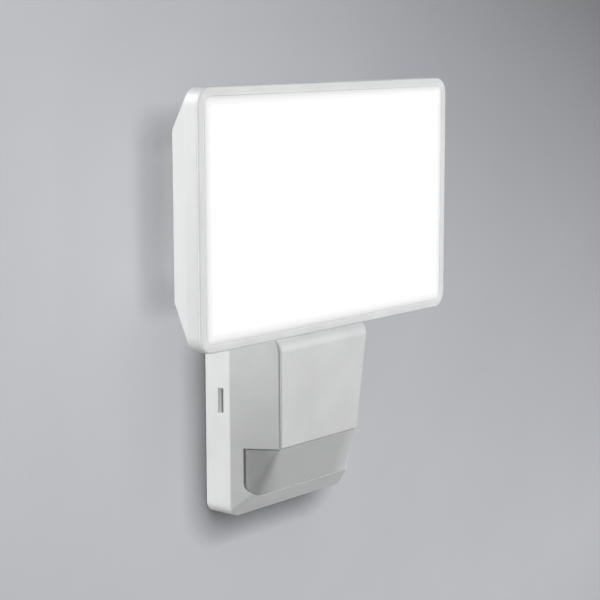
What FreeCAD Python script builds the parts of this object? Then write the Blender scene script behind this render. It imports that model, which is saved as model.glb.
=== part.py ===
"""Wall-mounted LED floodlight with a motion sensor in its base and a head that tilts.

Millimetres. +X is to the right of someone facing the lamp, -Y points away from the wall and +Z is up.
The origin is midway between the two wall screws, on the wall.
In the code a place is given as x, depth (distance from the wall) and height (above the base's underside).
"""
import FreeCAD, Part
import math
import os

Vector = FreeCAD.Vector

# ---- driving dimensions, mm ----
SCREW_HEIGHT = 60.0          # wall screws above the underside of the base

BASE_HALF_WIDTH = 55.0
BASE_SIDE_DEPTH = 20.3       # depth of the flat side walls
BASE_CORNER = 7.3            # radius of the two lower corners, seen from the front
BASE_EDGE = 1.8              # rounding of the other outer edges
CHIN_EDGE = 6.0              # rounding where chin and flank meet
BASE_WALL = 2.8
RIDGE_HALF_WIDTH = 38.0      # where the slanted flanks meet the front, at the top of the window
RIDGE_DEPTH = 47.0
RIDGE_SPREAD = 4.8           # how much wider and deeper the column is at the hinge
RIDGE_ADVANCE = 4.0
CHIN_DEPTH = 35.4            # lower edge of the sloping sensor window
CHIN_HEIGHT = 14.4
WINDOW_TOP = 45.0
WINDOW_HALF_WIDTH = 50.4     # opening in the cover
WINDOW_CORNER = 8.0
LENS_GAP = 1.2               # groove round the window, at its sides and lower corners
LENS_LEVEL_GAPS = (0.15, 0.5)    # the same below and above it
LENS_EDGE = 0.9
WINDOW_RIDGE = 6.0           # rounding of the window where its slope meets the flanks

PANEL_PROUD = 1.0            # the column's front panel stands out from the flanks
PANEL_THICK = 2.2
SHADOW_GAP = 0.4

HINGE_HEIGHT = 107.8
PANEL_SHOULDER = 9.0         # radius of the rounded top of the column, round the hinge axis
COVER_SHOULDER = PANEL_SHOULDER - PANEL_PROUD
COVER_TOP = HINGE_HEIGHT + COVER_SHOULDER
COLUMN_RISE = HINGE_HEIGHT - WINDOW_TOP
COLUMN_LEAN = math.atan(RIDGE_ADVANCE / COLUMN_RISE)
HINGE_DEPTH = RIDGE_DEPTH + RIDGE_ADVANCE - COVER_SHOULDER / math.cos(COLUMN_LEAN)

WELL_HALF_WIDTH = 19.6       # pocket in the column's top where the arm swings
WELL_WALL = 1.8
WELL_BACK = HINGE_DEPTH - 22.0
WELL_FLOOR = 97.5
DRUM_RADIUS = 6.2
DRUM_HALF_WIDTH = 18.0
BOLT_RADIUS = 2.5
BOLT_PLAY = 0.05
SLOT_FRONT_ANGLE = 35.0      # how far forward of upright the arm's slot reaches, degrees

SLOT_DEPTH = (10.4, 15.0)    # release slot in each side wall
SLOT_BEVEL = 1.4             # finger bevel along its rear edge
SLOT_HEIGHT = (66.2, 82.4)

HEAD_WIDTH = 240.0
HEAD_HEIGHT = 154.0
HEAD_CENTRE = 194.4
HEAD_FRONT = 58.0
HEAD_CORNER = 10.0
SEAM_DEPTH = 56.5            # joint between bezel and housing
SEAM_GAP = 0.15
CREASE_DEPTH = 47.2          # where the side band turns into the rear chamfer
BACK_DEPTH = 21.5
BACK_HALF_WIDTH = 103.8
BACK_HALF_HEIGHT = 54.0
BACK_CORNER = 4.0
HOUSING_WALL = 3.0
FLOOR_DEPTH = 31.0           # inside face of the housing's back
FIN_DEPTH = 6.0
FIN_PITCH = 12.0
FIN_THICK = 2.5
FIN_POCKETS = 16
FIN_HALF_HEIGHT = 47.0
BEZEL_WIDTH = 5.2
BEZEL_ROUNDING = 1.1
DIFFUSER_FACE = 57.9
DIFFUSER_PLAY = 0.02
VENT_X = 70.0                # breather plug, across and up the lower rear chamfer
VENT_ALONG = 18.0
ARM_SCREW_X = 25.0
ARM_SCREW_ALONG = (13.5, 26.0)
LED_ROWS = 6
LED_COLUMNS = 12
LED_PITCH = 15.6
BOARD_SCREW_X = (31.2, 93.6)
BOARD_SCREW_LEVEL = 46.8

DIAL_SPACING = 24.0
DIAL_DEPTH = 10.0
DIAL_RADIUS = 4.6
SPINDLE_RADIUS = 1.5

CABLE_HEIGHT = 22.0
CABLE_RADIUS = 4.0
SCREW_SPACING = 68.0
SCREW_SLOT = (2.3, 10.0)     # half width and length of each wall screw slot


# ---- helpers ----
def place(x, depth, height):
    return Vector(x, -depth, height - SCREW_HEIGHT)


def block(x, depth, height):
    """Box between pairs of limits."""
    corner = place(x[0], depth[1], height[0])
    return Part.makeBox(x[1] - x[0], depth[1] - depth[0], height[1] - height[0], corner)


def rod_across(radius, x, depth, height):
    """Cylinder along X."""
    return Part.makeCylinder(radius, x[1] - x[0], place(x[0], depth, height), Vector(1, 0, 0))


def rod_out(radius, x, depth, height):
    """Cylinder away from the wall."""
    return Part.makeCylinder(radius, depth[1] - depth[0], place(x, depth[0], height), Vector(0, -1, 0))


def rod_up(radius, x, depth, height):
    """Cylinder along Z."""
    return Part.makeCylinder(radius, height[1] - height[0], place(x, depth, height[0]), Vector(0, 0, 1))


def side_prism(points, x):
    """Outline of (depth, height) points, extruded along X."""
    corners = [place(x[0], depth, height) for depth, height in points]
    face = Part.Face(Part.makePolygon(corners + corners[:1]))
    return face.extrude(Vector(x[1] - x[0], 0, 0))


def plan_prism(points, height):
    """Outline of (x, depth) points, extruded upwards."""
    corners = [place(x, depth, height[0]) for x, depth in points]
    face = Part.Face(Part.makePolygon(corners + corners[:1]))
    return face.extrude(Vector(0, 0, height[1] - height[0]))


def rounded_wire(half_width, half_height, radius, depth, centre):
    """Rounded rectangle seen from the front, at one depth."""
    edges = []
    inner_x = half_width - radius
    inner_z = half_height - radius
    arcs = []
    for number, (across, up) in enumerate(((1, 1), (-1, 1), (-1, -1), (1, -1))):
        arc = []
        for turn in (0, 45, 90):
            angle = math.radians(90 * number + turn)
            x = across * inner_x + radius * math.cos(angle)
            height = centre + up * inner_z + radius * math.sin(angle)
            arc.append(place(x, depth, height))
        arcs.append(arc)
    for arc, following in zip(arcs, arcs[1:] + arcs[:1]):
        edges.append(Part.Arc(*arc).toShape())
        edges.append(Part.makeLine(arc[2], following[0]))
    return Part.Wire(edges)


def rounded_plate(half_width, half_height, radius, depth, centre):
    """Rounded rectangle extruded away from the wall."""
    face = Part.Face(rounded_wire(half_width, half_height, radius, depth[0], centre))
    return face.extrude(Vector(0, depth[0] - depth[1], 0))


def rounded_taper(back, front):
    """Solid between two rounded rectangles, each (half_width, half_height, radius, depth)."""
    wires = [rounded_wire(*section, HEAD_CENTRE) for section in (back, front)]
    return Part.makeLoft(wires, True, True)


def group(shapes):
    return Part.makeCompound(shapes)


def mirrored(shape):
    return shape.mirror(Vector(0, 0, 0), Vector(1, 0, 0))


def soften(shape, radius, chosen):
    """Fillet of the edges that the test picks."""
    edges = [edge for edge in shape.Edges if chosen(edge)]
    return shape.makeFillet(radius, edges)


def soften_each(shape, radius_of):
    """Fillets of several radii made together; the function gives each edge's radius, 0 for a sharp one."""
    document = FreeCAD.newDocument()
    solid = document.addObject("Part::Feature")
    solid.Shape = shape
    rounded = document.addObject("Part::Fillet")
    rounded.Base = solid
    radii = [radius_of(edge) for edge in shape.Edges]
    rounded.Edges = [(number, radius, radius) for number, radius in enumerate(radii, 1) if radius]
    document.recompute()
    result = rounded.Shape.copy()
    FreeCAD.closeDocument(document.Name)
    return result


def depth_of(vertex):
    return -vertex.Y


def height_of(vertex):
    return vertex.Z + SCREW_HEIGHT


def ends(edge, value):
    return [value(vertex) for vertex in edge.Vertexes]


def pan_screw(x, height, head, tip, radius=1.4, head_radius=2.7):
    """Screw driven away from the wall: head limits and tip are depths."""
    shape = rod_out(head_radius, x, head, height).fuse(rod_out(radius, x, (head[1], tip), height))
    sunk = (head[0], head[0] + 0.8)
    shape = shape.cut(block((x - 0.3, x + 0.3), sunk, (height - 2.0, height + 2.0)))
    return shape.cut(block((x - 2.0, x + 2.0), sunk, (height - 0.3, height + 0.3)))


# ---- base ----
def round_hinge(radius, first, last, steps=12):
    """Points on an arc round the hinge axis; angles are degrees above straight ahead."""
    turns = [math.radians(first + (last - first) * i / steps) for i in range(steps + 1)]
    return [(HINGE_DEPTH + radius * math.cos(t), HINGE_HEIGHT + radius * math.sin(t)) for t in turns]


def column_edge(offset, height):
    """(depth, height) on the leaning front of the column, moved out by an offset."""
    base = RIDGE_DEPTH + offset / math.cos(COLUMN_LEAN)
    return base + (height - WINDOW_TOP) * math.tan(COLUMN_LEAN), height


def shoulder(offset, angle):
    """Point on the rounded top, moved out by an offset; the angle is in degrees above straight ahead."""
    radius = COVER_SHOULDER + offset
    turn = math.radians(angle)
    return place(0, HINGE_DEPTH + radius * math.cos(turn), HINGE_HEIGHT + radius * math.sin(turn))


def shoulder_arc(offset):
    """Arc from the leaning front over to the flat top."""
    start = -math.degrees(COLUMN_LEAN)
    return Part.Arc(shoulder(offset, start), shoulder(offset, 45.0), shoulder(offset, 90.0)).toShape()


def closed_side(edges, x):
    """Edges that run from one end to the other of a side outline, closed and extruded across."""
    ends_of_run = (edges[-1].Vertexes[-1].Point, edges[0].Vertexes[0].Point)
    face = Part.Face(Part.Wire(edges + [Part.makeLine(*ends_of_run)]))
    solid = face.extrude(Vector(x[1] - x[0], 0, 0))
    solid.translate(Vector(x[0], 0, 0))
    return solid


def side_form(inset, half):
    """Side outline of the base, extruded across: underside, chin, window slope, column and rounded top."""
    start = inset * 0.9
    points = [
        (-1.0, start),
        (BASE_SIDE_DEPTH - inset * 0.5, start),
        (CHIN_DEPTH - inset * 0.9, CHIN_HEIGHT + inset * 0.4),
        column_edge(-inset, WINDOW_TOP + inset * 0.1),
    ]
    corners = [place(0, depth, height) for depth, height in points]
    arc = shoulder_arc(-inset)
    corners.append(arc.Vertexes[0].Point)
    edges = [Part.makeLine(a, b) for a, b in zip(corners, corners[1:])]
    top_back = place(0, -1.0, COVER_TOP - inset)
    edges += [arc, Part.makeLine(arc.Vertexes[-1].Point, top_back)]
    return closed_side(edges, (-half, half))


def plan_outline(inset, height):
    """Plan of the base at one height, shrunk by a wall thickness, as a closed wire."""
    rise = max(height - WINDOW_TOP, 0.0) / COLUMN_RISE
    ridge_x = RIDGE_HALF_WIDTH + rise * RIDGE_SPREAD
    ridge_depth = RIDGE_DEPTH + rise * RIDGE_ADVANCE
    narrowing = BASE_HALF_WIDTH - ridge_x
    deepening = ridge_depth - BASE_SIDE_DEPTH
    flank = math.hypot(narrowing, deepening)
    side_depth = BASE_SIDE_DEPTH - inset * (flank - narrowing) / deepening
    front_x = ridge_x - inset * (flank - deepening) / narrowing
    half = BASE_HALF_WIDTH - inset
    front = ridge_depth - inset
    right = [(half, -2.0), (half, side_depth), (front_x, front)]
    left = [(-x, depth) for x, depth in reversed(right)]
    corners = [place(x, depth, height) for x, depth in right + left]
    return Part.makePolygon(corners + corners[:1])


def plan_form(inset):
    """Straight below the window's top, then flanks that twist outwards with the widening column."""
    lower = Part.makeLoft([plan_outline(inset, -5.0), plan_outline(inset, WINDOW_TOP)], True, True)
    top = COVER_TOP + 5.0
    upper = Part.makeLoft([plan_outline(inset, WINDOW_TOP), plan_outline(inset, top)], True, True)
    return lower.fuse(upper)


def base_form(inset):
    """The base as a solid, shrunk by a wall thickness: side outline, plan and front outline intersected."""
    half = BASE_HALF_WIDTH - inset
    tall = COVER_TOP + 40.0
    depths = (-2.0, RIDGE_DEPTH + RIDGE_ADVANCE + 4.0)
    front = rounded_plate(half, (tall - inset) / 2, BASE_CORNER - inset, depths, (tall + inset) / 2)
    form = side_form(inset, half).common(plan_form(inset)).common(front)
    return form.cut(block((-60.0, 60.0), (-5.0, 0.0), (-5.0, COVER_TOP + 5.0))).removeSplitter()


def panel_band(outer, inner):
    """Bent strip between two offsets from the cover: flat on the column, curved over its top."""
    low = WINDOW_TOP + SHADOW_GAP
    outside = shoulder_arc(outer)
    inside = shoulder_arc(inner)
    foot = [place(0, *column_edge(offset, low)) for offset in (inner, outer)]
    edges = [
        Part.makeLine(foot[0], foot[1]),
        Part.makeLine(foot[1], outside.Vertexes[0].Point),
        outside,
        Part.makeLine(outside.Vertexes[-1].Point, inside.Vertexes[-1].Point),
        inside,
        Part.makeLine(inside.Vertexes[0].Point, foot[0]),
    ]
    half = BASE_HALF_WIDTH
    solid = Part.Face(Part.Wire(edges)).extrude(Vector(2 * half, 0, 0))
    solid.translate(Vector(-half, 0, 0))
    return solid


def column_front(gap):
    """Front outline of the column between its two ridge lines, as a deep prism narrowed by a gap."""
    outline = []
    for height in (WINDOW_TOP - 1.0, COVER_TOP + 5.0):
        half = RIDGE_HALF_WIDTH + RIDGE_SPREAD * (height - WINDOW_TOP) / COLUMN_RISE - gap
        outline.append((half, height))
    (low_half, low), (high_half, high) = outline
    corners = [(-low_half, low), (low_half, low), (high_half, high), (-high_half, high)]
    points = [place(x, 20.0, height) for x, height in corners]
    return Part.Face(Part.makePolygon(points + points[:1])).extrude(Vector(0, -50.0, 0))


def arm_slot():
    """Opening that the arm swings through, from the well's back to the front of the shoulder."""
    reach = 14.0
    angle = math.radians(SLOT_FRONT_ANGLE)
    wedge = [
        (HINGE_DEPTH, HINGE_HEIGHT),
        (HINGE_DEPTH + reach * math.tan(angle), HINGE_HEIGHT + reach),
        (WELL_BACK, HINGE_HEIGHT + reach),
        (WELL_BACK, HINGE_HEIGHT),
    ]
    return side_prism(wedge, (-WELL_HALF_WIDTH, WELL_HALF_WIDTH))


def window_plate(gap, level_gaps, depth):
    """Front outline of the window opening, shrunk by gaps at its sides, and below and above it."""
    half_width = WINDOW_HALF_WIDTH - gap
    radius = WINDOW_CORNER - gap
    low = CHIN_HEIGHT + level_gaps[0]
    tall = WINDOW_TOP + 2 * radius - low
    plate = rounded_plate(half_width, tall / 2, radius, depth, low + tall / 2)
    below_top = (0.0, WINDOW_TOP - level_gaps[1])
    return plate.common(block((-60.0, 60.0), (depth[0] - 1.0, depth[1] + 1.0), below_top))


def cover_posts():
    """Screw posts on the inside of the front wall: (x, height, back end's depth)."""
    posts = [(side * 16.0, height, 36.0) for side in (-1, 1) for height in (68.0, 86.0)]
    posts += [(side * 31.0, height, 9.6) for side in (-1, 1) for height in (56.0, 90.0)]
    return posts


def base_cover():
    outer = soften_each(base_form(0.0), outer_radius)
    shell = outer.cut(base_form(BASE_WALL))
    within = base_form(1.0)
    well_half = WELL_HALF_WIDTH + WELL_WALL
    well_heights = (WELL_FLOOR - WELL_WALL, COVER_TOP)
    well = block((-well_half, well_half), (WELL_BACK - WELL_WALL, 60.0), well_heights)
    shell = shell.fuse(well.common(within))
    posts = [rod_out(3.2, x, (back, 60.0), height) for x, height, back in cover_posts()]
    shell = shell.fuse([post.common(within) for post in posts])
    for x, height, back in cover_posts():
        shell = shell.cut(rod_out(1.4, x, (back - 1.0, back + 8.0), height))
    width = (-WELL_HALF_WIDTH, WELL_HALF_WIDTH)
    shell = shell.cut(block(width, (WELL_BACK, HINGE_DEPTH), (WELL_FLOOR, COVER_TOP + 1.0)))
    shell = shell.cut(rod_across(PANEL_SHOULDER - PANEL_THICK + 0.1, width, HINGE_DEPTH, HINGE_HEIGHT))
    shell = shell.cut(arm_slot())
    recess = panel_band(PANEL_PROUD + 2.0, PANEL_PROUD - PANEL_THICK).common(column_front(0.0))
    shell = shell.cut(recess)
    shell = shell.cut(rod_across(BOLT_RADIUS + 0.1, (-30.0, 30.0), HINGE_DEPTH, HINGE_HEIGHT))
    shell = shell.cut(window_plate(0.0, (0.0, 0.0), (22.0, 60.0)))
    shell = shell.cut(release_slot()).cut(mirrored(release_slot()))
    for x in dial_places():
        shell = shell.cut(rod_up(DIAL_RADIUS + 0.6, x, DIAL_DEPTH, (-1.0, 6.0)))
    return shell.removeSplitter()


def release_slot():
    """Opening in the right-hand side wall, bevelled along its rear edge."""
    rear, front = SLOT_DEPTH
    face = BASE_HALF_WIDTH
    outline = [
        (face + 1.0, rear - 1.0),
        (face - SLOT_BEVEL, rear + SLOT_BEVEL),
        (face - 6.0, rear + SLOT_BEVEL),
        (face - 6.0, front),
        (face + 1.0, front),
    ]
    return plan_prism(outline, SLOT_HEIGHT)


def outer_radius(edge):
    if is_chin_edge(edge):
        return CHIN_EDGE
    return BASE_EDGE if is_outer_edge(edge) else 0.0


def is_chin_edge(edge):
    """The two edges that rise from the underside to the window's lower corners."""
    heights = ends(edge, height_of)
    low, high = min(heights), max(heights)
    return 1.0 < low < 4.0 and abs(high - CHIN_HEIGHT) < 0.5


def is_outer_edge(edge):
    """Every edge of the outer form except those at the wall."""
    return min(ends(edge, depth_of)) > 0.5


def column_panel():
    strip = panel_band(PANEL_PROUD, PANEL_PROUD - PANEL_THICK).common(column_front(SHADOW_GAP))
    return soften(strip, 0.8, is_panel_rim).cut(arm_slot())


def is_panel_rim(edge):
    """Outer rim of the panel: its two long sides and the lower front edge."""
    across = abs(edge.Vertexes[0].X - edge.Vertexes[-1].X) > 20.0
    low = max(ends(edge, height_of)) < WINDOW_TOP + 1.0
    return panel_offset(edge) > PANEL_PROUD - 0.05 and (low if across else True)


def panel_offset(edge):
    """Smallest distance of an edge's ends from the cover's own surface, outwards."""
    offsets = []
    for vertex in edge.Vertexes:
        out = depth_of(vertex) - HINGE_DEPTH
        up = height_of(vertex) - HINGE_HEIGHT
        on_top = up > -math.tan(COLUMN_LEAN) * out
        leaning = (out * math.cos(COLUMN_LEAN) - up * math.sin(COLUMN_LEAN))
        offsets.append((math.hypot(out, up) if on_top else leaning) - COVER_SHOULDER)
    return min(offsets)


def sensor_lens():
    """Window of milky plastic in front of the motion sensor, set back a little in its opening."""
    outer = soften(base_form(0.3), WINDOW_RIDGE, is_window_ridge)
    skin = outer.cut(base_form(2.2)).common(window_plate(LENS_GAP, LENS_LEVEL_GAPS, (21.5, 60.0)))
    return soften(skin, LENS_EDGE, is_window_rim)


def is_window_ridge(edge):
    """The two edges where the window's slope meets the flanks."""
    heights = ends(edge, height_of)
    narrow = min(abs(vertex.X) for vertex in edge.Vertexes) > RIDGE_HALF_WIDTH - 1.0
    return narrow and abs(min(heights) - CHIN_HEIGHT) < 0.6 and abs(max(heights) - WINDOW_TOP) < 0.6


def is_window_rim(edge):
    """Edges on the outside of the window, between its face and its rim."""
    middle = edge.valueAt((edge.FirstParameter + edge.LastParameter) / 2)
    skin = base_form(0.3).Shells[0]
    points = [edge.Vertexes[0].Point, edge.Vertexes[-1].Point, middle]
    on_outside = all(skin.distToShape(Part.Vertex(point))[0] < 0.02 for point in points)
    along_top = min(ends(edge, height_of)) > WINDOW_TOP - LENS_LEVEL_GAPS[1] - 0.1
    along_side = all(abs(abs(vertex.X) - WINDOW_HALF_WIDTH + LENS_GAP) < 0.1 for vertex in edge.Vertexes)
    return on_outside and (along_top or along_side)


def lens_seal():
    """Rubber cord pressed between window and cover, behind the groove."""
    ring = base_form(2.3).cut(base_form(BASE_WALL + 0.6))
    ring = ring.common(window_plate(0.1, (0.1, 0.1), (21.0, 60.0)))
    return ring.cut(window_plate(2.4, (2.0, 2.0), (20.0, 61.0)))


def wall_bracket():
    plate = rounded_plate(48.0, 51.0, 6.0, (0.0, 3.0), 57.0)
    groove = ring_plate(46.0, 49.0, 5.0, 2.5, (-1.0, 1.2), 57.0)
    plate = plate.cut(groove)
    plate = plate.cut(rod_out(CABLE_RADIUS + 2.0, 0.0, (-1.0, 4.0), CABLE_HEIGHT))
    half, length = SCREW_SLOT
    slot_heights = (SCREW_HEIGHT - half, SCREW_HEIGHT + half)
    for side in (-1, 1):
        x = side * SCREW_SPACING / 2
        run = length / 2 - half
        plate = plate.cut(block((x - run, x + run), (-1.0, 4.0), slot_heights))
        for end in (x - run, x + run):
            plate = plate.cut(rod_out(half, end, (-1.0, 4.0), SCREW_HEIGHT))
    middle = sum(SLOT_HEIGHT) / 2
    for side in (-1, 1):
        near, far = sorted((side * 42.6, side * 47.6))
        guide = block((near, far), (3.0, 16.0), (middle - 6.5, middle + 6.5))
        plate = plate.fuse(guide)
        plate = plate.cut(rod_across(2.05, (near - 1.0, far + 1.0), latch_depth(), middle))
    for x, height in bracket_pegs():
        plate = plate.fuse(rod_out(3.0, x, (3.0, 5.0), height)).cut(rod_out(1.3, x, (1.5, 6.0), height))
    return plate


def bracket_pegs():
    """Screw pegs for the terminal block."""
    return [(-17.5, 38.0), (17.5, 38.0)]


def ring_plate(half_width, half_height, radius, width, depth, centre):
    """Frame of constant width, seen from the front."""
    hole = (depth[0] - 0.5, depth[1] + 0.5)
    inner_radius = max(radius - width, 0.8)
    outer = rounded_plate(half_width, half_height, radius, depth, centre)
    return outer.cut(rounded_plate(half_width - width, half_height - width, inner_radius, hole, centre))


def bracket_gasket():
    return ring_plate(45.9, 48.9, 4.9, 2.3, (0.0, 1.2), 57.0)


def cable_grommet():
    """Rubber sleeve that seals the mains cable where it comes out of the wall."""
    sleeve = rod_out(CABLE_RADIUS + 2.0, 0.0, (0.0, 9.0), CABLE_HEIGHT)
    sleeve = sleeve.fuse(rod_out(CABLE_RADIUS + 3.4, 0.0, (3.0, 5.0), CABLE_HEIGHT))
    end = place(0, 9.0, CABLE_HEIGHT)
    cone = Part.makeCone(CABLE_RADIUS + 2.0, CABLE_RADIUS + 1.0, 3.0, end, Vector(0, -1, 0))
    return sleeve.fuse(cone).cut(rod_out(CABLE_RADIUS, 0.0, (-1.0, 13.0), CABLE_HEIGHT)).removeSplitter()


def terminal_block():
    flange = block((-22.0, 22.0), (5.0, 8.0), (34.0, 42.0))
    body = flange.fuse(block((-13.5, 13.5), (5.0, 18.0), (32.0, 44.0)))
    for x in terminal_places():
        body = body.cut(rod_up(2.2, x, 11.0, (31.0, 45.0)))
        body = body.cut(rod_out(2.3, x, (11.0, 19.0), 38.0))
    for x, height in bracket_pegs():
        body = body.cut(rod_out(1.6, x, (4.0, 9.0), height))
    return body.removeSplitter()


def terminal_places():
    return [-8.8, 0.0, 8.8]


def terminal_screws():
    screws = []
    for x in terminal_places():
        screw = rod_out(2.2, x, (13.6, 16.5), 38.0)
        screws.append(screw.cut(block((x - 2.5, x + 2.5), (15.7, 17.0), (37.6, 38.4))))
    for x, height in bracket_pegs():
        screw = rod_out(1.2, x, (2.0, 8.0), height).fuse(rod_out(2.6, x, (8.0, 10.0), height))
        screws.append(screw.cut(block((x - 2.0, x + 2.0), (9.2, 10.5), (height - 0.4, height + 0.4))))
    return group(screws)


# ---- electronics in the base ----
def driver_board():
    board = block((-36.0, 36.0), (8.0, 9.6), (50.0, 93.0))
    for x, height, back in cover_posts():
        if back < 10.0:
            board = board.cut(rod_out(1.6, x, (7.0, 11.0), height))
    return board


def driver_transformer():
    low, high = (60.0, 84.0)
    core = block((-13.0, 13.0), (9.6, 28.0), (low, high))
    core = core.cut(block((-9.0, 9.0), (15.0, 23.0), (low - 1.0, high + 1.0)))
    return core.fuse(rod_out(7.5, 0.0, (15.0, 23.0), (low + high) / 2)).removeSplitter()


def driver_capacitors():
    cans = []
    large, small = (6.0, 30.0), (3.0, 20.0)
    for x, height, (radius, top) in ((-23.0, 62.0, large), (-23.0, 80.0, large), (-33.0, 71.0, small)):
        can = rod_out(radius, x, (9.6, top), height)
        can = can.cut(rod_out(radius * 0.7, x, (top - 0.4, top + 1.0), height))
        cans.append(can)
    return group(cans)


def driver_relay():
    return block((17.0, 26.0), (9.6, 25.0), (62.0, 82.0))


def driver_screws():
    posts = [post for post in cover_posts() if post[2] < 10.0]
    return group([pan_screw(x, height, (6.4, 8.0), back + 7.0, 1.35) for x, height, back in posts])


def sensor_carrier():
    """Plastic frame behind the window that holds the sensor board."""
    frame = block((-38.0, 38.0), (21.0, 23.0), (16.0, 47.0))
    frame = frame.cut(block((-17.0, 17.0), (20.0, 24.0), (21.0, 42.0)))
    for side in (-1, 1):
        frame = frame.fuse(block(sorted((side * 38.0, side * 40.0)), (21.0, 27.0), (18.0, 45.0)))
    return frame.removeSplitter()


def sensor_board():
    return block((-24.0, 24.0), (23.0, 24.6), (18.0, 45.0))


def pir_detectors():
    """Two heat detectors in metal cans, each with a square window, splayed to cover both sides."""
    cans = []
    for x in (-10.0, 10.0):
        can = rod_out(4.7, x, (24.6, 25.4), 30.0).fuse(rod_out(4.1, x, (25.4, 29.0), 30.0))
        cans.append(can.cut(block((x - 1.5, x + 1.5), (28.7, 30.0), (28.5, 31.5))))
    return group(cans)


def light_sensor():
    return block((-1.6, 1.6), (24.6, 26.2), (37.5, 40.5)).fuse(rod_out(1.1, 0.0, (26.2, 27.2), 39.0))


# ---- setting dials in the underside ----
def dial_places():
    return [-DIAL_SPACING, 0.0, DIAL_SPACING]


def dial(x):
    """Knob with a screwdriver slot and a pointer notch, on a spindle."""
    knob = rod_up(DIAL_RADIUS, x, DIAL_DEPTH, (0.5, 3.6))
    knob = knob.cut(block((x - 0.6, x + 0.6), (DIAL_DEPTH - 3.2, DIAL_DEPTH + 3.2), (0.0, 1.8)))
    tip = DIAL_DEPTH + DIAL_RADIUS - 0.5
    arrow = [(x - 1.5, tip - 2.0), (x + 1.5, tip - 2.0), (x, tip)]
    knob = knob.cut(plan_prism(arrow, (0.0, 1.8)))
    return knob.fuse(rod_up(SPINDLE_RADIUS, x, DIAL_DEPTH, (3.6, 11.0))).removeSplitter()


def potentiometers():
    bodies = []
    for x in dial_places():
        body = block((x - 4.8, x + 4.8), (DIAL_DEPTH - 4.8, DIAL_DEPTH + 4.8), (4.6, 11.6))
        bodies.append(body.cut(rod_up(SPINDLE_RADIUS + BOLT_PLAY, x, DIAL_DEPTH, (4.0, 11.4))))
    return group(bodies)


def dial_board():
    return block((-34.0, 34.0), (4.0, 16.4), (11.6, 13.2))


# ---- release latches ----
def latch_depth():
    return sum(SLOT_DEPTH) / 2 + 0.4


def latch():
    """Right-hand catch: a nose that shows in the side slot, on a stem that slides in the bracket."""
    low, high = SLOT_HEIGHT
    middle = (low + high) / 2
    depth = (latch_depth() - 1.3, latch_depth() + 1.3)
    nose = block((50.6, 51.9), depth, (low + 0.5, high - 0.5))
    stem = rod_across(2.0, (41.0, 50.6), latch_depth(), middle)
    plate = block((50.0, 51.6), (latch_depth() - 2.7, latch_depth() + 2.7), (low + 2.0, high - 2.0))
    stop = rod_across(2.8, (39.0, 42.2), latch_depth(), middle)
    return nose.fuse([stem, plate, stop]).removeSplitter()


# ---- hinge ----
def hinge_chassis():
    """Folded steel frame: a plate screwed to the cover's posts and two cheeks that hold the hinge bolt."""
    outline = [(34.0, 62.0), (36.0, 62.0), (38.0, 66.0), (44.2, 80.0)]
    outline += round_hinge(4.4, 0.0, 180.0)
    outline += [(34.0, 92.0)]
    plate = block((-23.8, 23.8), (34.0, 36.0), (62.0, 92.0))
    for side in (-1, 1):
        plate = plate.fuse(side_prism(outline, sorted((side * 21.8, side * 23.8))))
    plate = without_bolt(plate)
    for x, height, back in cover_posts():
        if back > 30.0:
            plate = plate.cut(rod_out(1.6, x, (33.0, 37.0), height))
    return plate.removeSplitter()


def chassis_screws():
    posts = [post for post in cover_posts() if post[2] > 30.0]
    return group([pan_screw(x, height, (32.4, 34.0), back + 7.0, 1.35) for x, height, back in posts])


def hinge_bolt():
    shaft = rod_across(BOLT_RADIUS, (-29.5, 24.0), HINGE_DEPTH, HINGE_HEIGHT)
    head = rod_across(4.3, (23.8, 27.4), HINGE_DEPTH, HINGE_HEIGHT)
    socket = hexagon_across(2.2, (25.4, 28.0))
    return shaft.fuse(head).cut(socket).removeSplitter()


def hexagon_across(radius, x):
    turns = [math.radians(60 * i) for i in range(6)]
    points = [(HINGE_DEPTH + radius * math.cos(t), HINGE_HEIGHT + radius * math.sin(t)) for t in turns]
    return side_prism(points, x)


def without_bolt(shape):
    """Bores the shape for the hinge bolt."""
    return shape.cut(rod_across(BOLT_RADIUS, (-40.0, 40.0), HINGE_DEPTH, HINGE_HEIGHT))


def hinge_nut():
    return without_bolt(hexagon_across(4.5, (-28.9, -24.9)))


def washer(outer, x):
    return without_bolt(rod_across(outer, x, HINGE_DEPTH, HINGE_HEIGHT))


def spring_washer():
    """Split ring that keeps the hinge tight."""
    ring = washer(4.4, (-24.9, -23.8))
    split = (HINGE_HEIGHT - 0.4, HINGE_HEIGHT + 0.4)
    return ring.cut(block((-26.0, -23.0), (HINGE_DEPTH + 1.0, HINGE_DEPTH + 6.0), split))


def friction_washers():
    inner = DRUM_HALF_WIDTH + 0.3
    return group([washer(5.8, (inner, WELL_HALF_WIDTH)), washer(5.8, (-WELL_HALF_WIDTH, -inner))])


# ---- head ----
def head_plate(inset, radius, depth):
    """Rounded rectangle the size of the head's front, shrunk by an inset."""
    return rounded_plate(HEAD_WIDTH / 2 - inset, HEAD_HEIGHT / 2 - inset, radius, depth, HEAD_CENTRE)


def chamfer_axes():
    """Unit vectors (depth, height) on the head's lower rear chamfer: up along it, and out from it."""
    run = BACK_DEPTH - CREASE_DEPTH
    rise = HEAD_HEIGHT / 2 - BACK_HALF_HEIGHT
    length = math.hypot(run, rise)
    return (run / length, rise / length), (-rise / length, run / length)


def on_chamfer(along, out):
    """(depth, height) of a point on the lower chamfer, from its front crease."""
    up, normal = chamfer_axes()
    bottom = HEAD_CENTRE - HEAD_HEIGHT / 2
    return CREASE_DEPTH + along * up[0] + out * normal[0], bottom + along * up[1] + out * normal[1]


def chamfer_rod(radius, x, along, out):
    """Cylinder square to the lower chamfer, between two distances out from it."""
    depth, height = on_chamfer(along, out[0])
    normal = chamfer_axes()[1]
    direction = Vector(0, -normal[0], normal[1])
    return Part.makeCylinder(radius, out[1] - out[0], place(x, depth, height), direction)


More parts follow.
